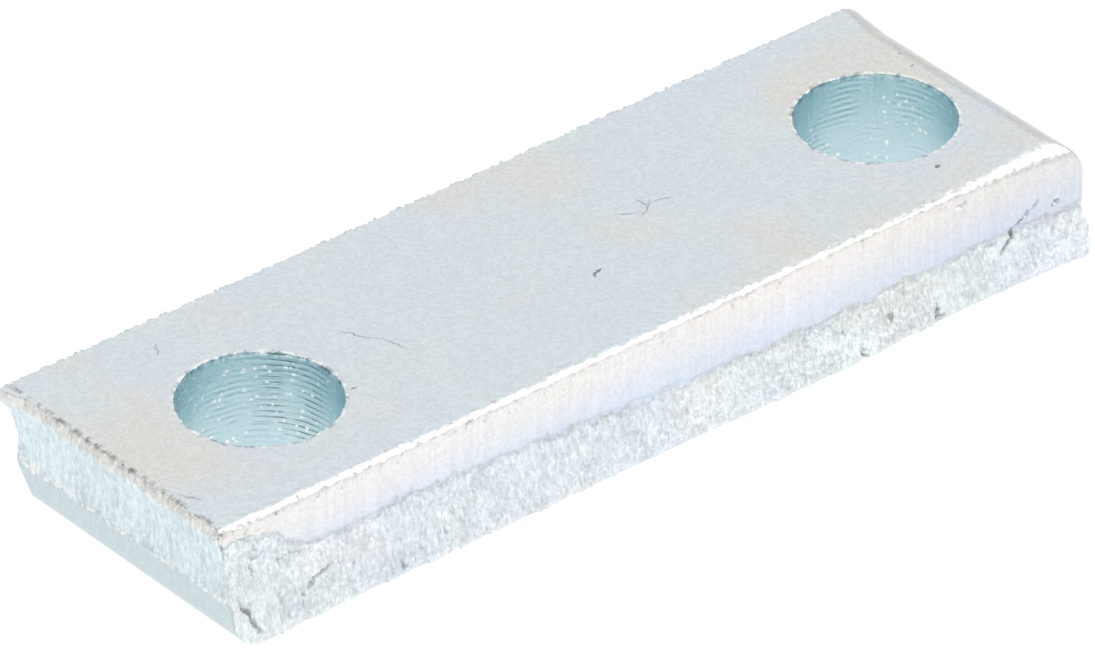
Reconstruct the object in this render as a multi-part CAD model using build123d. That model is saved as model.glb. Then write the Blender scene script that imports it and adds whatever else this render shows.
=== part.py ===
from build123d import *
import os

# Drilled mounting bar: one piece of steel plate, guillotine-sheared on all four sides, drilled twice and
# zinc plated. The origin is midway between the two holes, on the face that the bar rests on. +X runs along
# the length towards the end that is nearer its hole, +Y across the width, +Z up. Millimetres throughout.

# ---- the blank ----
plate_thickness = 8.4
hole_pitch = 50.0          # centre to centre
hole_diameter = 10.5       # M10 clearance
left_margin = 10.8         # hole centre to the smooth land of the left end
right_margin = 8.8         # hole centre to the smooth land of the right end
front_margin = 9.9         # hole line to the smooth land of the front side
back_margin = 10.5         # hole line to the smooth land of the back side

# ---- what the shear leaves on a cut side, counted from the face where the blade enters ----
# The edge droops over (roll), is wiped smooth (land), steps in and tears (tear, slightly hollow), and ends
# in a lip of pushed-out metal (burr) at the far face. The blade enters the front side and the right end
# from above, and the back side and the left end from below.
front_step_in = 0.12
front_tear_hollow = 0.06
front_lip_height = 0.2
front_crest_in = 0.08      # how far the lip's crest falls back from its tip

back_roll_width = 2.4
back_roll_depth = 1.6
back_land_end = 3.4
back_step_in = 0.05
back_tear_hollow = 0.08
back_lip_reach = 0.7
back_lip_height = 0.2
back_crest_in = 0.08

left_roll_width = 3.0
left_roll_depth = 1.7
left_land_end = 3.3
left_step_in = 0.05
left_tear_hollow = 0.22
left_lip_reach = 0.4
left_lip_height = 0.6
left_crest_in = 0.3

right_land_end = 5.0
right_step_in = 0.02
right_tear_hollow = -0.05
right_lip_reach = 0.15
right_lip_height = 0.3
right_crest_in = 0.08

# The left end's burr is pulled out into a tip at the back corner
tip_length = 2.2
tip_reach = 1.0
tip_height = 0.3
tip_crest_in = 0.1
tip_tear_hollow = 0.6

# The blade ran unevenly along the front side:
# (place along X, width and depth of the droop, end of the land, reach of the lip)
front_stations = [
    (-38.0, 0.70, 0.70, 3.60, 1.80),
    (-33.0, 0.70, 0.65, 3.60, 1.30),
    (-27.0, 0.75, 0.55, 3.55, 1.12),
    (-14.0, 0.80, 0.47, 3.75, 1.05),
    (0.0, 0.85, 0.45, 4.45, 1.12),
    (16.0, 0.85, 0.38, 4.80, 1.10),
    (24.0, 1.00, 0.50, 4.60, 0.85),
    (29.0, 1.20, 1.10, 4.60, 0.95),
    (33.0, 2.50, 1.75, 4.80, 1.10),
    (37.0, 5.00, 3.20, 5.20, 1.20),
]

# The right end droops less at the back corner: (place along Y, width and depth of the droop)
right_stations = [
    (-15.0, 3.2, 3.0),
    (8.0, 3.2, 3.0),
    (11.2, 2.4, 2.4),
    (15.0, 2.4, 2.4),
]

# ---- upright corners ----
# (height above the bottom face, radius there)
front_right_rounding = [(0.0, 1.0), (5.0, 0.6), (plate_thickness, 3.2)]
back_left_rounding = [(0.0, 3.2), (3.0, 0.1)]

# ---- small forms ----
step_height = 0.3          # height of the ledge between the land and the torn zone
lip_edge = 0.25            # height of the lip's blunt outer edge
crease_width = 0.2         # the crease at the root of the left end's burr
crease_depth = 0.2

# ---- allowances of the cutting tools ----
overrun = 3.0              # how far they run past the blank
rise = 0.06                # how far a droop starts above its face, so that it meets it at a slight angle


def waste_beside(roll_width, roll_depth, land_end, step_in, tear_hollow, lip_reach, lip_height, crest_in):
    """Section of the waste beside a sheared side.

    x is outward from the land, y is up from the blade's face.
    """
    start = (-roll_width, rise)
    land_top = (0.0, -roll_depth)
    land_foot = (0.0, -land_end)
    tear_top = (-step_in, -land_end - step_height)
    lip_root = (lip_reach, lip_height + lip_edge - plate_thickness)
    lip_tip = (lip_reach, lip_height - plate_thickness)
    crest = (lip_reach - crest_in, -plate_thickness - rise)
    tear_middle = ((tear_top[0] + lip_root[0]) / 2 - tear_hollow, (tear_top[1] + lip_root[1]) / 2)
    outline = [
        EllipticalCenterArc(
            (-roll_width, -roll_depth),
            roll_width,
            roll_depth + rise,
            start_angle=0,
            arc_size=90,
        ),
        Polyline(land_top, land_foot, tear_top),
        ThreePointArc(tear_top, tear_middle, lip_root),
        Polyline(lip_root, lip_tip, crest),
        Polyline(
            crest,
            (lip_reach - crest_in, -plate_thickness - overrun),
            (overrun, -plate_thickness - overrun),
            (overrun, overrun),
            (-roll_width, overrun),
            start,
        ),
    ]
    return make_face(outline)


def front_waste():
    """Waste in front of the front side, lofted through its stations."""
    sections = []
    for place, roll_width, roll_depth, land_end, lip_reach in front_stations:
        section_plane = Plane(
            origin=(place, -front_margin, plate_thickness),
            x_dir=(0, -1, 0),
            z_dir=(-1, 0, 0),
        )
        section = waste_beside(
            roll_width, roll_depth, land_end, front_step_in,
            front_tear_hollow, lip_reach, front_lip_height, front_crest_in,
        )
        sections.append(section_plane * section)
    return loft(sections)


def back_waste():
    """Waste behind the back side, which was cut from below."""
    section_plane = Plane(origin=(tool_reach, back_margin, 0), x_dir=(0, 1, 0), z_dir=(-1, 0, 0))
    section = waste_beside(
        back_roll_width, back_roll_depth, back_land_end, back_step_in,
        back_tear_hollow, back_lip_reach, back_lip_height, back_crest_in,
    )
    return extrude(section_plane * section, amount=2 * tool_reach)


def right_waste():
    """Waste beyond the right end, which was cut from above."""
    sections = []
    for place, roll_width, roll_depth in right_stations:
        section_plane = Plane(origin=(right_land, place, plate_thickness), x_dir=(1, 0, 0), z_dir=(0, -1, 0))
        section = waste_beside(
            roll_width, roll_depth, right_land_end, right_step_in,
            right_tear_hollow, right_lip_reach, right_lip_height, right_crest_in,
        )
        sections.append(section_plane * section)
    return loft(sections, ruled=True)


def left_waste():
    """Waste beyond the left end, cut from below, with the burr growing into the tip at the back corner."""
    burr = (left_tear_hollow, left_lip_reach, left_lip_height, left_crest_in)
    tip = (tip_tear_hollow, tip_reach, tip_height, tip_crest_in)
    sections = []
    for place, burr_sizes in (
        (tool_reach, tip),
        (back_lip, tip),
        (back_lip - tip_length, burr),
        (-tool_reach, burr),
    ):
        section_plane = Plane(origin=(left_land, place, 0), x_dir=(-1, 0, 0), z_dir=(0, -1, 0))
        section = waste_beside(
            left_roll_width, left_roll_depth, left_land_end, left_step_in, *burr_sizes
        )
        sections.append(section_plane * section)
    return loft(sections, ruled=True)


def burr_crease():
    """V-shaped crease in the top face, at the root of the left end's burr."""
    crest = left_land - left_lip_reach + left_crest_in + crease_width / 2
    groove = Polyline(
        (crest - crease_width / 2, plate_thickness + rise),
        (crest, plate_thickness - crease_depth),
        (crest + crease_width / 2, plate_thickness + rise),
        close=True,
    )
    section_plane = Plane(origin=(0, tool_reach, 0), x_dir=(1, 0, 0), z_dir=(0, -1, 0))
    return extrude(section_plane * make_face(groove), amount=2 * tool_reach)


def corner_waste(corner_x, corner_y, rounding):
    """Upright waste outside a rounded corner, whose radius changes evenly from one height to the next."""
    inward_x = -1 if corner_x > 0 else 1
    inward_y = -1 if corner_y > 0 else 1
    outer_x = corner_x - inward_x * overrun
    outer_y = corner_y - inward_y * overrun
    sections = []
    for height, radius in rounding:
        along_x = (corner_x + inward_x * radius, corner_y)
        along_y = (corner_x, corner_y + inward_y * radius)
        bend = RadiusArc(along_x, along_y, radius * inward_x * inward_y)
        rim = Polyline(along_y, (outer_x, along_y[1]), (outer_x, outer_y), (along_x[0], outer_y), along_x)
        sections.append(Pos(0, 0, height) * make_face([bend, rim]))
    return loft(sections, ruled=True)


left_land = -hole_pitch / 2 - left_margin
right_land = hole_pitch / 2 + right_margin
right_lip = right_land + right_lip_reach
front_lip = -front_margin - front_stations[-1][4]
back_lip = back_margin + back_lip_reach
tool_reach = hole_pitch / 2 + left_margin + overrun

blank_length = hole_pitch + left_margin + right_margin + overrun
blank_width = front_margin + back_margin + overrun
blank_centre_x = (left_land + right_land) / 2
blank_centre_y = (back_margin - front_margin) / 2
blank = Box(blank_length, blank_width, plate_thickness)
blank = Pos(blank_centre_x, blank_centre_y, plate_thickness / 2) * blank

bar = blank - front_waste() - back_waste() - right_waste() - left_waste() - burr_crease()
bar -= corner_waste(right_lip, front_lip, front_right_rounding)
bar -= corner_waste(left_land, back_margin, back_left_rounding)
for side in (-1, 1):
    drill = Cylinder(hole_diameter / 2, plate_thickness + overrun)
    bar -= Pos(side * hole_pitch / 2, 0, plate_thickness / 2) * drill

os.makedirs("parts", exist_ok=True)
export_step(bar, "parts/mounting_bar.step")
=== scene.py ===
"""A short drilled bar, guillotined from hot rolled flat stock and zinc plated, on a lit white table."""

import math
from functools import partial

import bmesh
import bpy
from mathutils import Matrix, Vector


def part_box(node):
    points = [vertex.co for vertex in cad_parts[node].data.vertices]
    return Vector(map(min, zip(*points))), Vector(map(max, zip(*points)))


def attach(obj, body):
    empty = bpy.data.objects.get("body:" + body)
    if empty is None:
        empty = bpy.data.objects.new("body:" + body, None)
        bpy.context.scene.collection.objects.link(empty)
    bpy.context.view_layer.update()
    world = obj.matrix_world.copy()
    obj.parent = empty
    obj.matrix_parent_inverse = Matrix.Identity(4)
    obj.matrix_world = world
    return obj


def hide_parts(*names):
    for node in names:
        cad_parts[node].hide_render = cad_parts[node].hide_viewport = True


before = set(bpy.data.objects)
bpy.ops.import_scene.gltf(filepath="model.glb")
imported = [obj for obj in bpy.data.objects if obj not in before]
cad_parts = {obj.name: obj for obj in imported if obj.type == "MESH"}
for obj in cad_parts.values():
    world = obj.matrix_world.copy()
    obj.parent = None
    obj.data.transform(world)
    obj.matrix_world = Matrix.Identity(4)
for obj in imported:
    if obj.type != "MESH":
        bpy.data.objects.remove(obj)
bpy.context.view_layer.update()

MM = 0.001
BAR = "mounting_bar"
LOW, HIGH = (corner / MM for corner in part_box(BAR))
THICKNESS = HIGH.z - LOW.z
HOLE_HALF_PITCH = 25.0
HOLE_RADIUS = 5.25

VOXEL = 0.11
WELD = 0.002
MOST_TRIANGLES = 195_000
SHARP_ANGLE = 32

# The front land ends this far under the top at its left and right, and higher near the left corner.
LEFT_LEDGE = 3.6
RIGHT_LEDGE = 4.7
CORNER_RISE = 1.3
# A calm patch of the torn front, where the steel parted in one sheet, laid out as the gouges are below.
CALM_PATCH = (1.6, 2.7, -28, 3.4, 1.3, 0.85)
# The feed lines are darkest on the wall of the left bore, near this point.
DARKEST_FEED = (-20.4, 2.2, 0.0)

TABLE_HALF = 1.5
TABLE_GAP = 0.0001
# Name, direction from the bar, side in metres and watts.
SOFTBOXES = (
    ("front_softbox", (0.54, -0.55, 0.64), 0.75, 2.3),
    ("left_softbox", (-0.62, 0.30, 0.72), 0.35, 0.8),
)
SOFTBOX_DISTANCE = 0.9
SENSOR_WIDTH = 36
LENS = 448.2
CAMERA_DISTANCE = 0.848
CAMERA_AZIMUTH = -40.01
CAMERA_ELEVATION = 32.97
# The camera looks at this point of the top face, in mm from the middle of the two holes.
AIM = (-6.15, -4.94)

MATH = "ShaderNodeMath"
VECTOR_MATH = "ShaderNodeVectorMath"
RAMP = "ShaderNodeMapRange"
NOISE = "ShaderNodeTexNoise"
CELLS = "ShaderNodeTexVoronoi"
SPLIT = "ShaderNodeSeparateXYZ"
JOIN = "ShaderNodeCombineXYZ"
MIX = "ShaderNodeMix"

# Sizes of the sheared skin, in mm, which are the inputs of its node tree.
SKIN_SIZES = {
    "Grain Depth": 0.34,
    "Grain Width": 0.28,
    "Ledge Wander": 1.10,
    "Burr Wander": 2.20,
    "Edge Dings": 0.30,
    "Score Depth": 0.09,
    "Score Pitch": 0.30,
    "Feed Pitch": 0.42,
    "Feed Depth": 0.020,
    "Seed": 3.37,
}

# Gouges in the front face: middle x, middle z, lean in degrees, half length, half width, depth.
FRONT_GOUGES = (
    (27.9, 3.35, 43, 1.35, 0.13, 0.42),
    (29.6, 4.60, 35, 0.70, 0.13, 0.20),
    (31.5, 4.40, 50, 0.35, 0.14, 0.25),
    (23.5, 7.30, 12, 0.40, 0.10, 0.16),
    (21.1, 0.50, 80, 0.80, 0.16, 0.35),
    (17.4, 1.75, 70, 0.30, 0.14, 0.25),
    (14.6, 0.20, 95, 0.45, 0.25, 0.35),
    (13.4, 2.10, 65, 0.30, 0.14, 0.25),
    (-22.6, 0.50, 80, 0.40, 0.18, 0.30),
    (-29.0, 2.30, 22, 1.60, 0.12, 0.22),
    (-34.5, 1.60, -50, 1.10, 0.14, 0.32),
    (-33.7, 3.90, 75, 1.10, 0.10, 0.18),
    (-30.8, 3.90, 12, 1.30, 0.09, 0.12),
)

# Scratches and pits in the top face: middle x, middle y, turn in degrees, half length, half width, strength.
TOP_MARKS = (
    (0.0, -2.4, 20, 0.55, 0.09, 1.0),
    (5.9, 1.5, -30, 0.70, 0.08, 0.45),
    (7.0, 1.2, 35, 0.90, 0.08, 0.5),
    (7.3, 1.9, 80, 0.55, 0.07, 0.45),
    (8.5, 1.4, -15, 0.60, 0.08, 0.5),
    (-15.9, 1.6, -62, 1.10, 0.07, 0.5),
    (-14.9, -0.4, -80, 1.00, 0.07, 0.5),
    (-26.5, 8.3, 55, 0.60, 0.07, 0.4),
    (-35.0, -5.7, -60, 0.75, 0.08, 0.45),
    (-19.9, -2.7, 0, 0.13, 0.13, 0.9),
    (30.9, 3.2, 0, 0.10, 0.10, 0.8),
    (31.2, 4.9, 0, 0.10, 0.10, 0.8),
    (24.4, -6.8, 0, 0.16, 0.08, 0.9),
)


def linear(hex_code):
    """An sRGB hex colour as the linear RGBA that a shader socket takes."""
    channels = [int(hex_code[i:i + 2], 16) / 255 for i in (1, 3, 5)]
    light = [c / 12.92 if c <= 0.04045 else ((c + 0.055) / 1.055) ** 2.4 for c in channels]
    return (*light, 1.0)


def add(tree, kind, *values, links=None, out=0, **settings):
    """Adds a node and gives its output: values fill its inputs in order, links by name or number."""
    node = tree.nodes.new(kind)
    for name, setting in settings.items():
        setattr(node, name, setting)
    for key, value in {**dict(enumerate(values)), **(links or {})}.items():
        if isinstance(value, bpy.types.NodeSocket):
            tree.links.new(value, node.inputs[key])
        else:
            node.inputs[key].default_value = value
    return node.outputs[out] if node.outputs else node


def long_mark(node, first, second, mark):
    """How much a point lies in a long mark of a face, from 0 to the mark's strength."""
    middle_1, middle_2, lean, half_length, half_width, strength = mark
    cosine, sine = math.cos(math.radians(lean)), math.sin(math.radians(lean))
    first = node(MATH, first, middle_1, operation="SUBTRACT")
    second = node(MATH, second, middle_2, operation="SUBTRACT")
    rest = node(MATH, second, sine, operation="MULTIPLY")
    along = node(MATH, first, cosine, rest, operation="MULTIPLY_ADD")
    rest = node(MATH, second, cosine, operation="MULTIPLY")
    across = node(MATH, first, -sine, rest, operation="MULTIPLY_ADD")
    along = node(MATH, node(MATH, along, half_length, operation="DIVIDE"), 2.0, operation="POWER")
    side = node(MATH, across, half_width, operation="DIVIDE")
    reach = node(MATH, along, node(MATH, side, side, operation="MULTIPLY"), operation="ADD")
    return node(RAMP, reach, 1.6, 0.2, 0.0, strength, interpolation_type="SMOOTHSTEP")


def skin_tree(zinc):
    """Sheared faces get torn grain, a wandering ledge, gouges and a ragged burr; bores get feed lines."""
    tree = bpy.data.node_groups.new("sheared_skin", "GeometryNodeTree")
    face = tree.interface
    face.new_socket("Geometry", in_out="INPUT", socket_type="NodeSocketGeometry")
    for name in SKIN_SIZES:
        face.new_socket(name, in_out="INPUT", socket_type="NodeSocketFloat")
    face.new_socket("Geometry", in_out="OUTPUT", socket_type="NodeSocketGeometry")
    node = partial(add, tree)
    given = tree.nodes.new("NodeGroupInput").outputs
    seed = given["Seed"]

    place = node(VECTOR_MATH, node("GeometryNodeInputPosition"), links={"Scale": 1 / MM}, operation="SCALE")
    normal = node("GeometryNodeInputNormal")
    x, y, z = (node(SPLIT, place, out=i) for i in range(3))
    nx, ny, nz = (node(SPLIT, normal, out=i) for i in range(3))
    front, back = (node(RAMP, ny, 0.25 * s, 0.7 * s, interpolation_type="SMOOTHSTEP") for s in (-1, 1))
    left, right = (node(RAMP, nx, 0.25 * s, 0.7 * s, interpolation_type="SMOOTHSTEP") for s in (-1, 1))

    off_axis = node(MATH, node(MATH, x, operation="ABSOLUTE"), HOLE_HALF_PITCH, operation="SUBTRACT")
    off_axis = node(JOIN, off_axis, y)
    reach = node(VECTOR_MATH, off_axis, out=1, operation="LENGTH")
    near_bore = node(RAMP, reach, HOLE_RADIUS + 0.3, HOLE_RADIUS + 0.05)
    outside = node(MATH, 1.0, near_bore, operation="SUBTRACT")
    upright_wall = node(RAMP, node(MATH, nz, operation="ABSOLUTE"), 0.9, 0.6)
    bore = node(MATH, near_bore, upright_wall, operation="MULTIPLY")

    # The burnished land ends at a ledge that wanders along each cut; below it the steel is torn.
    along_front = node(JOIN, x, 0.37, 0.61)
    along_end = node(JOIN, 0.43, y, 0.29)
    wave = node(NOISE, along_front, seed, 0.30, 5.0, 0.62, noise_dimensions="4D")
    wave = node(MATH, wave, 0.5, operation="SUBTRACT")
    front_shift = node(MATH, wave, given["Ledge Wander"], operation="MULTIPLY")
    wave = node(NOISE, along_end, seed, 0.55, 6.0, 0.72, noise_dimensions="4D")
    wave = node(MATH, wave, 0.5, operation="SUBTRACT")
    end_shift = node(MATH, wave, given["Ledge Wander"], operation="MULTIPLY")
    rise = node(RAMP, x, -28.0, -34.0, 0.0, CORNER_RISE, interpolation_type="SMOOTHSTEP")
    front_shift = node(MATH, front_shift, rise, operation="ADD")
    heights = (THICKNESS - LEFT_LEDGE, THICKNESS - RIGHT_LEDGE)
    drop = node(RAMP, x, -20.0, 6.0, *heights, interpolation_type="SMOOTHSTEP")
    below = node(MATH, node(MATH, drop, front_shift, operation="ADD"), z, operation="SUBTRACT")
    break_up = node(NOISE, place, seed, 1.3, 4.0, 0.7, noise_dimensions="4D")
    below = node(MATH, node(MATH, break_up, 0.52, operation="SUBTRACT"), 2.2, below, operation="MULTIPLY_ADD")
    torn_front = node(MATH, front, node(RAMP, below, -0.15, 0.45), operation="MULTIPLY")
    height = node(MATH, z, end_shift, operation="ADD")
    torn_left = node(MATH, left, node(RAMP, height, 3.1, 3.4), operation="MULTIPLY")
    torn_right = node(MATH, right, node(RAMP, height, 3.6, 3.3), operation="MULTIPLY")
    torn_back = node(MATH, back, node(RAMP, height, 3.3, 3.6), operation="MULTIPLY")
    torn_ends = node(MATH, torn_left, torn_right, operation="MAXIMUM")
    torn_long = node(MATH, torn_front, torn_back, operation="MAXIMUM")
    torn = node(MATH, node(MATH, torn_ends, torn_long, operation="MAXIMUM"), outside, operation="MULTIPLY")
    ends = node(MATH, left, right, operation="MAXIMUM")
    longs = node(MATH, front, back, operation="MAXIMUM")
    cut = node(MATH, node(MATH, ends, longs, operation="MAXIMUM"), outside, operation="MULTIPLY")
    land = node(MATH, cut, torn, operation="SUBTRACT", use_clamp=True)

    # Torn grain: drawn-out flakes, coarser and finer over the face, quiet on the calm patch.
    squeeze = node(MATH, left, -0.30, 0.42, operation="MULTIPLY_ADD")
    drawn = node(VECTOR_MATH, place, node(JOIN, 1.0, 1.0, squeeze), operation="MULTIPLY")
    rate = node(MATH, 1.0, given["Grain Width"], operation="DIVIDE")
    flakes = node(CELLS, drawn, links={"Scale": rate}, feature="F1")
    rough = node(NOISE, drawn, seed, 1.1, 5.0, 0.75, noise_dimensions="4D")
    grain = node(MATH, node(MATH, rough, 1.2, operation="MULTIPLY"), flakes, operation="SUBTRACT")
    coarse = node(RAMP, node(NOISE, place, seed, 0.3, 2.0, 0.5, noise_dimensions="4D"), 0.38, 0.62, 0.35, 1.0)
    grain = node(MATH, node(MATH, grain, coarse, operation="MULTIPLY"), torn, operation="MULTIPLY")
    calm = long_mark(node, x, z, CALM_PATCH)
    grain = node(MATH, grain, node(MATH, 1.0, calm, operation="SUBTRACT"), operation="MULTIPLY")
    grain = node(MATH, grain, given["Grain Depth"], operation="MULTIPLY")
    kept = node(MATH, 1.0, node(MATH, left, 0.55, operation="MULTIPLY"), operation="SUBTRACT")
    grain = node(MATH, grain, kept, operation="MULTIPLY")

    # The blade drags fine upright scores down the burnished land.
    upright = node(VECTOR_MATH, place, (1.0, 1.0, 0.04), operation="MULTIPLY")
    rate = node(MATH, 1.0, given["Score Pitch"], operation="DIVIDE")
    score = node(NOISE, upright, seed, rate, 3.0, 0.6, noise_dimensions="4D")
    score = node(MATH, node(MATH, score, 0.5, operation="SUBTRACT"), land, operation="MULTIPLY")
    kept = node(MATH, 1.0, node(MATH, left, 0.85, operation="MULTIPLY"), operation="SUBTRACT")
    score = node(MATH, score, kept, operation="MULTIPLY")
    score = node(MATH, score, given["Score Depth"], operation="MULTIPLY")

    # The drill leaves feed lines round each bore, deep on some turns and worn away on others.
    turns = node(MATH, z, given["Feed Pitch"], operation="DIVIDE")
    slip = node(NOISE, place, seed, 0.22, 2.0, 0.5, noise_dimensions="4D")
    slip = node(MATH, slip, 7.0, operation="MULTIPLY")
    phase = node(MATH, node(MATH, turns, math.tau, operation="MULTIPLY"), slip, operation="ADD")
    fade = node(RAMP, node(NOISE, place, seed, 0.42, 3.0, 0.6, noise_dimensions="4D"), 0.42, 0.62)
    feed = node(MATH, node(MATH, phase, operation="SINE"), fade, operation="MULTIPLY")
    feed = node(MATH, node(MATH, feed, bore, operation="MULTIPLY"), given["Feed Depth"], operation="MULTIPLY")

    # Small dings roughen the rounded front edge and the mouths of the bores.
    near_edge = node(MATH, node(RAMP, y, -8.7, -9.2), node(RAMP, z, 7.0, 7.8), operation="MULTIPLY")
    rim = node(MATH, node(RAMP, reach, 5.75, 5.45), node(RAMP, z, 8.1, 8.3), operation="MULTIPLY")
    dinged = node(MATH, near_edge, rim, operation="MAXIMUM")
    dings = node(NOISE, place, seed, 2.4, 4.0, 0.75, noise_dimensions="4D")
    dings = node(MATH, node(MATH, dings, 0.53, operation="SUBTRACT"), dinged, operation="MULTIPLY")
    dings = node(MATH, dings, given["Edge Dings"], operation="MULTIPLY")
    dings = node(MATH, dings, node(RAMP, x, 25.0, 31.0, 1.0, 0.25), operation="MULTIPLY")

    out = node(MATH, feed, dings, operation="ADD")
    out = node(MATH, node(MATH, grain, score, operation="ADD"), out, operation="ADD")
    at_front = node(MATH, front, outside, operation="MULTIPLY")
    bend = node(NOISE, place, seed, 0.9, 4.0, 0.7, out=1, noise_dimensions="4D")
    bend = node(VECTOR_MATH, bend, (0.5, 0.5, 0.5), operation="SUBTRACT")
    bend = node(VECTOR_MATH, bend, (1.6, 1.6, 1.6), place, operation="MULTIPLY_ADD")
    bent_x, bent_z = (node(SPLIT, bend, out=i) for i in (0, 2))
    dark = 0.0
    for gouge in FRONT_GOUGES:
        inside = node(MATH, long_mark(node, bent_x, bent_z, gouge), at_front, operation="MULTIPLY")
        dark = node(MATH, dark, inside, operation="MAXIMUM")
        out = node(MATH, out, inside, operation="SUBTRACT")
    push = node(VECTOR_MATH, normal, links={"Scale": out}, operation="SCALE")

    # The burrs under the front and along the left top edge are ragged, and the ledge moves with its wander.
    low = node(MATH, front, node(RAMP, z, 1.8, 0.1), operation="MULTIPLY")
    rag = node(NOISE, along_front, seed, 0.5, 7.0, 0.75, noise_dimensions="4D")
    rag = node(MATH, node(MATH, rag, 0.46, operation="SUBTRACT"), given["Burr Wander"], operation="MULTIPLY")
    rag = node(MATH, node(MATH, rag, -0.08, operation="MAXIMUM"), low, operation="MULTIPLY")
    middle = node(MATH, node(RAMP, z, 1.2, 3.0), node(RAMP, z, 7.6, 5.8), operation="MULTIPLY")
    pull = node(MATH, node(MATH, front_shift, front, operation="MULTIPLY"), middle, operation="MULTIPLY")
    top_rag = node(NOISE, along_end, seed, 1.3, 6.0, 0.75, noise_dimensions="4D")
    top_rag = node(MATH, top_rag, 0.56, operation="SUBTRACT")
    top_rag = node(MATH, top_rag, node(RAMP, x, -35.6, -36.1, 0.0, 0.4), operation="MULTIPLY")
    top_rag = node(MATH, top_rag, node(RAMP, z, 7.6, 8.3), operation="MULTIPLY")
    lift = node(MATH, node(MATH, rag, pull, operation="ADD"), top_rag, operation="ADD")
    move = node(VECTOR_MATH, push, node(JOIN, 0.0, 0.0, lift), operation="ADD")
    move = node(VECTOR_MATH, move, links={"Scale": MM}, operation="SCALE")

    mesh = given["Geometry"]
    for name, mask in (("torn", torn), ("land", land), ("bore", bore), ("gouge", dark)):
        stored = {"Name": name, "Value": mask}
        mesh = node("GeometryNodeStoreNamedAttribute", mesh, links=stored, domain="POINT")
    mesh = node("GeometryNodeSetPosition", mesh, links={"Offset": move})
    mesh = node("GeometryNodeRealizeInstances", mesh)
    mesh = node("GeometryNodeSetMaterial", mesh, links={"Material": zinc})
    node("NodeGroupOutput", mesh)
    return tree


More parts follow.
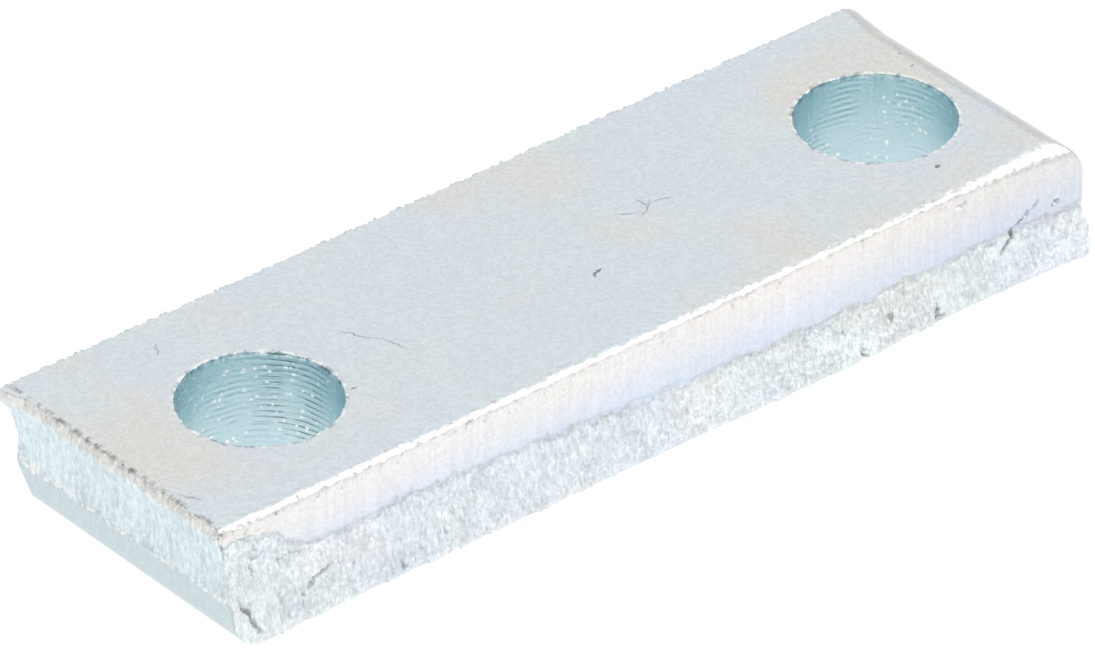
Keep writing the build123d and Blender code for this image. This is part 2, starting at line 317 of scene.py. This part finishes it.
def blue_passivated_zinc():
    """Zinc electroplate under a clear blue passivation, on rolled and sheared steel.

    It looks satin and bluish white, drifting to grey-green and cream, with painted shade in teal inside the
    bores.
    """
    material = bpy.data.materials.new("blue_passivated_zinc")
    material.use_nodes = True
    tree = material.node_tree
    tree.nodes.clear()
    node = partial(add, tree)
    mm = node("ShaderNodeMapping", links={
        "Vector": node("ShaderNodeTexCoord", out=3),
        "Scale": (1 / MM, 1 / MM, 1 / MM),
    })
    x, y, z = (node(SPLIT, mm, out=i) for i in range(3))
    torn, land, bore, gouge = (
        node("ShaderNodeAttribute", attribute_name=name, out=2) for name in ("torn", "land", "bore", "gouge")
    )
    up = node(RAMP, node(SPLIT, node("ShaderNodeNewGeometry", out=1), out=2), 0.8, 0.95)

    # Passivation colour drifts over 9 to 13 mm.
    drift = node(RAMP, node(NOISE, mm, links={"Scale": 1 / 9, "Detail": 4.0}), 0.40, 0.60)
    tint = node(MIX, drift, links={6: linear("#e0e6ed"), 7: linear("#e1e8e9")}, out=2, data_type="RGBA")
    drift = node(RAMP, node(NOISE, mm, links={"Scale": 1 / 13, "Detail": 3.0}), 0.50, 0.66)
    drift = node(MATH, drift, node(RAMP, torn, links={3: 1.0, 4: 0.4}), operation="MULTIPLY")
    tint = node(MIX, drift, links={6: tint, 7: linear("#e6e5df")}, out=2, data_type="RGBA")
    # On the burnished land a painted highlight, cream under the rounded edge, fades to painted shade,
    # lavender at the ledge.
    cream = node(RAMP, z, THICKNESS - 4.2, THICKNESS - 1.0)
    burnish_and_painted_light = node(MIX, cream, links={6: linear("#d3dcea"), 7: linear("#e8e5e2")}, out=2, data_type="RGBA")
    streak = node(VECTOR_MATH, mm, (1.0, 1.0, 0.03), operation="MULTIPLY")
    streak = node(NOISE, streak, links={"Scale": 1 / 0.3, "Detail": 3.0})
    shade = node(RAMP, streak, 0.3, 0.7, 0.96, 1.06)
    burnish_and_painted_light = node(VECTOR_MATH, burnish_and_painted_light, links={"Scale": shade}, operation="SCALE")
    shade = node(RAMP, x, 12.0, 28.0, 1.0, 0.92)
    burnish_and_painted_light = node(VECTOR_MATH, burnish_and_painted_light, links={"Scale": shade}, operation="SCALE")
    share = node(MATH, land, 0.9, operation="MULTIPLY")
    tint = node(MIX, share, links={6: tint, 7: burnish_and_painted_light}, out=2, data_type="RGBA")
    # Painted shade makes the left end darker and bluer, in upright streaks above its greyer rounded foot.
    not_top = node(MATH, 1.0, up, operation="SUBTRACT")
    left_end = node(MATH, node(RAMP, x, -34.6, -35.2), not_top, operation="MULTIPLY")
    faces_left = node(RAMP, node(SPLIT, node("ShaderNodeNewGeometry", out=1)), -0.3, -0.6)
    left_end = node(MATH, left_end, faces_left, operation="MULTIPLY")
    foot = node(RAMP, z, 3.0, 3.6)
    blue = node(MIX, foot, links={6: linear("#d0dde1"), 7: linear("#dce9ee")}, out=2, data_type="RGBA")
    streak = node(RAMP, streak, 0.35, 0.65, 0.97, 1.08)
    streak = node(MIX, foot, links={2: 1.0, 3: streak}, out=0)
    blue = node(VECTOR_MATH, blue, links={"Scale": streak}, operation="SCALE")
    # Painted glints in bright flecks mark where its burnished foot ends, and a cream lip runs under its top
    # edge.
    fleck = node(NOISE, mm, links={"Scale": 2.2, "Detail": 3.0})
    foot_glint = node(MATH, z, node(MATH, fleck, 1.4, operation="MULTIPLY"), operation="ADD")
    foot_glint = node(MATH, node(MATH, foot_glint, 4.1, operation="SUBTRACT"), operation="ABSOLUTE")
    foot_glint = node(MATH, node(RAMP, foot_glint, 0.28, 0.08), node(RAMP, fleck, 0.48, 0.56), operation="MULTIPLY")
    blue = node(MIX, foot_glint, links={6: blue, 7: linear("#ffffff")}, out=2, data_type="RGBA")
    lip = node(RAMP, z, 7.5, 7.9, 0.0, 0.8)
    blue = node(MIX, lip, links={6: blue, 7: linear("#eeebe4")}, out=2, data_type="RGBA")
    tint = node(MIX, left_end, links={6: tint, 7: blue}, out=2, data_type="RGBA")
    # Painted shade: the bores are painted a darker teal.
    tint = node(MIX, bore, links={6: tint, 7: linear("#c9e2e8")}, out=2, data_type="RGBA")

    # Zinc crystals, drawn at 0.2 mm so that they show as a fine sparkle.
    crystal = node(SPLIT, node(CELLS, mm, links={"Scale": 1 / 0.2}, out=1))
    shade = node(RAMP, crystal, links={3: 0.92, 4: 1.05})
    tint = node(VECTOR_MATH, tint, links={"Scale": shade}, operation="SCALE")
    # Painted glints on the torn flakes, in short upright streaks, thick in some places and thin in others.
    flake = node(VECTOR_MATH, mm, (1.0, 1.0, 0.40), operation="MULTIPLY")
    glint = node(NOISE, flake, links={"Scale": 1 / 0.30, "Detail": 4.0, "Roughness": 0.65})
    crowd = node(NOISE, mm, links={"Scale": 1 / 2.6, "Detail": 2.0})
    glint = node(MATH, node(MATH, crowd, 0.35, operation="MULTIPLY"), glint, operation="ADD")
    shade = node(RAMP, glint, 0.50, 0.86, 0.90, 1.26)
    shade = node(MIX, torn, links={2: 1.0, 3: shade}, out=0)
    tint = node(VECTOR_MATH, tint, links={"Scale": shade}, operation="SCALE")

    # The feed lines are darker, most of all near one point.
    slip = node(NOISE, mm, links={"Scale": 0.22, "Detail": 2.0})
    slip = node(MATH, slip, 7.0, operation="MULTIPLY")
    turns = node(MATH, z, math.tau / SKIN_SIZES["Feed Pitch"], operation="MULTIPLY")
    turns = node(MATH, turns, slip, operation="ADD")
    fade = node(RAMP, node(NOISE, mm, links={"Scale": 0.42, "Detail": 3.0}), 0.42, 0.58)
    worst = node(VECTOR_MATH, node(JOIN, x, y), DARKEST_FEED, out=1, operation="DISTANCE")
    worst = node(RAMP, worst, 3.0, 1.2, 0.06, 1.0)
    fade = node(MATH, fade, worst, operation="MULTIPLY")
    line = node(MATH, node(RAMP, node(MATH, turns, operation="SINE"), 0.45, 0.95), fade, operation="MULTIPLY")
    line = node(MATH, node(MATH, line, bore, operation="MULTIPLY"), 0.9, operation="MULTIPLY")
    tint = node(MIX, line, links={6: tint, 7: linear("#5d7074")}, out=2, data_type="RGBA")
    # Painted glints: white specks in the bores, thicker in some places.
    bore_glint = node(RAMP, node(CELLS, mm, links={"Scale": 1 / 0.55}), 0.28, 0.16)
    crowd = node(RAMP, node(NOISE, mm, links={"Scale": 0.35}), 0.46, 0.54)
    bore_glint = node(MATH, bore_glint, crowd, operation="MULTIPLY")
    bore_glint = node(MATH, bore_glint, bore, operation="MULTIPLY")
    tint = node(MIX, bore_glint, links={6: tint, 7: linear("#ffffff")}, out=2, data_type="RGBA")

    # Round each mouth the rim is nicked: painted highlights make some nicks bright, and others are darker.
    off_axis = node(MATH, node(MATH, x, operation="ABSOLUTE"), HOLE_HALF_PITCH, operation="SUBTRACT")
    reach = node(VECTOR_MATH, node(JOIN, off_axis, y), out=1, operation="LENGTH")
    rim = node(MATH, node(MATH, reach, HOLE_RADIUS + 0.08, operation="SUBTRACT"), operation="ABSOLUTE")
    at_top = node(RAMP, z, THICKNESS - 0.5, THICKNESS - 0.2)
    rim = node(MATH, node(RAMP, rim, 0.24, 0.08), at_top, operation="MULTIPLY")
    nick = node(NOISE, mm, links={"Scale": 1.4, "Detail": 3.0, "Roughness": 0.7})
    bright = node(MATH, rim, node(RAMP, nick, 0.50, 0.58), operation="MULTIPLY")
    tint = node(MIX, bright, links={6: tint, 7: linear("#fbfbf8")}, out=2, data_type="RGBA")
    dim = node(MATH, rim, node(RAMP, nick, 0.46, 0.38, 0.0, 0.55), operation="MULTIPLY")
    tint = node(MIX, dim, links={6: tint, 7: linear("#75858a")}, out=2, data_type="RGBA")

    # Scratches and pits, with a little wobble so that none is ruled.
    wobble = node(NOISE, mm, links={"Scale": 1.1, "Detail": 3.0}, out=1)
    wobble = node(VECTOR_MATH, wobble, (0.5, 0.5, 0.5), operation="SUBTRACT")
    bent = node(VECTOR_MATH, wobble, (0.9, 0.9, 0.9), mm, operation="MULTIPLY_ADD")
    bent_x, bent_y = (node(SPLIT, bent, out=i) for i in range(2))
    marks = 0.0
    for mark in TOP_MARKS:
        marks = node(MATH, marks, long_mark(node, bent_x, bent_y, mark), operation="MAXIMUM")
    marks = node(MATH, marks, up, operation="MULTIPLY")
    # Dark brown specks: painted shade in the crease under the left burr, and dirt in nicks with painted shade
    # along the front edge.
    speckle = node(NOISE, mm, links={"Scale": 1.6, "Detail": 4.0, "Roughness": 0.7})
    crease = node(MATH, node(RAMP, x, -35.55, -35.8), node(RAMP, x, -36.15, -35.9), operation="MULTIPLY")
    crease = node(MATH, crease, node(RAMP, z, 7.9, 8.1), operation="MULTIPLY")
    crease = node(MATH, crease, node(RAMP, speckle, 0.46, 0.62), operation="MULTIPLY")
    edge = node(MATH, node(RAMP, y, -9.1, -9.5), node(RAMP, x, -8.0, -24.0, 0.5, 1.0), operation="MULTIPLY")
    edge = node(MATH, edge, node(RAMP, z, 7.0, 7.6), operation="MULTIPLY")
    edge = node(MATH, edge, node(RAMP, speckle, 0.60, 0.68), operation="MULTIPLY")
    dark_marks_and_shade = node(MATH, node(MATH, crease, edge, operation="MAXIMUM"), marks, operation="MAXIMUM")
    dark_marks_and_shade = node(MATH, dark_marks_and_shade, node(MATH, gouge, 1.1, operation="MULTIPLY"), operation="MAXIMUM")
    dark_marks_and_shade = node(MATH, dark_marks_and_shade, 0.8, operation="MULTIPLY", use_clamp=True)
    tint = node(MIX, dark_marks_and_shade, links={6: tint, 7: linear("#7d776e")}, out=2, data_type="RGBA")

    # Satin all over, with an upright grit where the steel tore.
    rough = node(RAMP, crystal, links={3: 0.28, 4: 0.42})
    stretch = node(MATH, torn, -0.65, 1.0, operation="MULTIPLY_ADD")
    grit = node(VECTOR_MATH, mm, node(JOIN, 1.0, 1.0, stretch), operation="MULTIPLY")
    fine = node(NOISE, grit, links={"Scale": 1 / 0.18, "Detail": 3.0, "Roughness": 0.7})
    relief = node(RAMP, torn, links={3: 0.18, 4: 1.0})
    bump = node("ShaderNodeBump", links={"Strength": relief, "Distance": 0.15 * MM, "Height": fine})
    sunk = node("ShaderNodeBump", links={"Distance": -0.08 * MM, "Height": marks, "Normal": bump})
    shader = node("ShaderNodeBsdfPrincipled", links={
        "Base Color": tint, "Metallic": 1.0, "Roughness": rough, "Normal": sunk,
    })
    node("ShaderNodeOutputMaterial", shader)
    return material


def plain_copy():
    """The CAD bar as a welded mesh of its own."""
    mesh = bpy.data.meshes.new("bar_start")
    shell = bmesh.new()
    shell.from_mesh(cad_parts[BAR].data)
    bmesh.ops.remove_doubles(shell, verts=shell.verts, dist=WELD * MM)
    shell.to_mesh(mesh)
    shell.free()
    piece = bpy.data.objects.new("bar_start", mesh)
    bpy.context.scene.collection.objects.link(piece)
    return piece


def settled(piece, name):
    """What the live modifiers make, as a plain mesh object of this name."""
    graph = bpy.context.evaluated_depsgraph_get()
    mesh = bpy.data.meshes.new_from_object(piece.evaluated_get(graph))
    made = bpy.data.objects.new(name, mesh)
    bpy.context.scene.collection.objects.link(made)
    bpy.data.objects.remove(piece)
    return made


def sheared_bar(zinc):
    """The bar as it is seen: evenly meshed, given its sheared skin, thinned, and shaded flat on its flats."""
    piece = plain_copy()
    remesh = piece.modifiers.new("even_mesh", "REMESH")
    remesh.mode = "VOXEL"
    remesh.voxel_size = VOXEL * MM
    skin = piece.modifiers.new("sheared_skin", "NODES")
    skin.node_group = skin_tree(zinc)
    for item in skin.node_group.interface.items_tree:
        if item.in_out == "INPUT" and item.name in SKIN_SIZES:
            skin[item.identifier] = SKIN_SIZES[item.name]
    piece = settled(piece, "bar_fine")
    triangles = sum(len(p.vertices) - 2 for p in piece.data.polygons)
    fewer = piece.modifiers.new("fewer", "DECIMATE")
    fewer.ratio = min(1.0, MOST_TRIANGLES / triangles)
    piece = settled(piece, "bar_light")
    piece.data.polygons.foreach_set("use_smooth", [True] * len(piece.data.polygons))
    piece.data.set_sharp_from_angle(angle=math.radians(SHARP_ANGLE))
    flat = piece.modifiers.new("flat_faces", "WEIGHTED_NORMAL")
    flat.keep_sharp = True
    bar = settled(piece, "sheared_bar")
    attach(bar, "root")
    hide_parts(BAR)


def light_table():
    """A white acrylic sheet lit from below, brighter in front, so that nothing on it throws a shadow."""
    under = LOW.z * MM - TABLE_GAP
    mesh = bpy.data.meshes.new("light_table")
    turns = ((-1, -1), (1, -1), (1, 1), (-1, 1))
    mesh.from_pydata([(TABLE_HALF * i, TABLE_HALF * j, under) for i, j in turns], [], [(0, 1, 2, 3)])
    table = bpy.data.objects.new("light_table", mesh)
    bpy.context.scene.collection.objects.link(table)
    material = bpy.data.materials.new("lit_white_acrylic")
    material.use_nodes = True
    tree = material.node_tree
    tree.nodes.clear()
    node = partial(add, tree)
    y = node(SPLIT, node("ShaderNodeTexCoord", out=3), out=1)
    strength = node(RAMP, y, -0.008, -0.013, 1.02, 1.18)
    glow = node("ShaderNodeEmission", linear("#ffffff"), strength)
    node("ShaderNodeOutputMaterial", glow)
    mesh.materials.append(material)


def studio():
    """A pale room, darker towards the horizon, with two softboxes."""
    world = bpy.data.worlds.new("pale_studio")
    bpy.context.scene.world = world
    world.use_nodes = True
    tree = world.node_tree
    tree.nodes.clear()
    node = partial(add, tree)
    height = node(SPLIT, node("ShaderNodeTexCoord", out=0), out=2)
    strength = node(RAMP, height, -0.05, 0.5, 0.45, 1.04, interpolation_type="SMOOTHSTEP")
    node("ShaderNodeOutputWorld", node("ShaderNodeBackground", linear("#f4f6f8"), strength))
    for name, toward, size, watts in SOFTBOXES:
        lamp = bpy.data.lights.new(name, "AREA")
        lamp.size = size
        lamp.energy = watts
        holder = bpy.data.objects.new(name, lamp)
        holder.location = Vector(toward) * SOFTBOX_DISTANCE
        holder.rotation_mode = "QUATERNION"
        holder.rotation_quaternion = (-Vector(toward)).to_track_quat("-Z", "Y")
        bpy.context.scene.collection.objects.link(holder)
    bpy.context.scene.view_settings.view_transform = "Standard"


def camera():
    """A long lens from the front left, above the bar, aimed a little off the middle of the two holes."""
    azimuth, elevation = math.radians(CAMERA_AZIMUTH), math.radians(CAMERA_ELEVATION)
    middle = Vector((0, 0, THICKNESS)) * MM
    aim = Vector((*AIM, THICKNESS)) * MM
    toward = Vector((
        math.sin(azimuth) * math.cos(elevation),
        -math.cos(azimuth) * math.cos(elevation),
        math.sin(elevation),
    ))
    lens = bpy.data.cameras.new("camera")
    lens.sensor_width = SENSOR_WIDTH
    lens.lens = LENS
    lens.clip_start = 0.01
    eye = bpy.data.objects.new("camera", lens)
    eye.location = middle + toward * CAMERA_DISTANCE
    eye.rotation_mode = "QUATERNION"
    eye.rotation_quaternion = (aim - eye.location).to_track_quat("-Z", "Y")
    bpy.context.scene.collection.objects.link(eye)
    bpy.context.scene.camera = eye


sheared_bar(blue_passivated_zinc())
light_table()
studio()
camera()
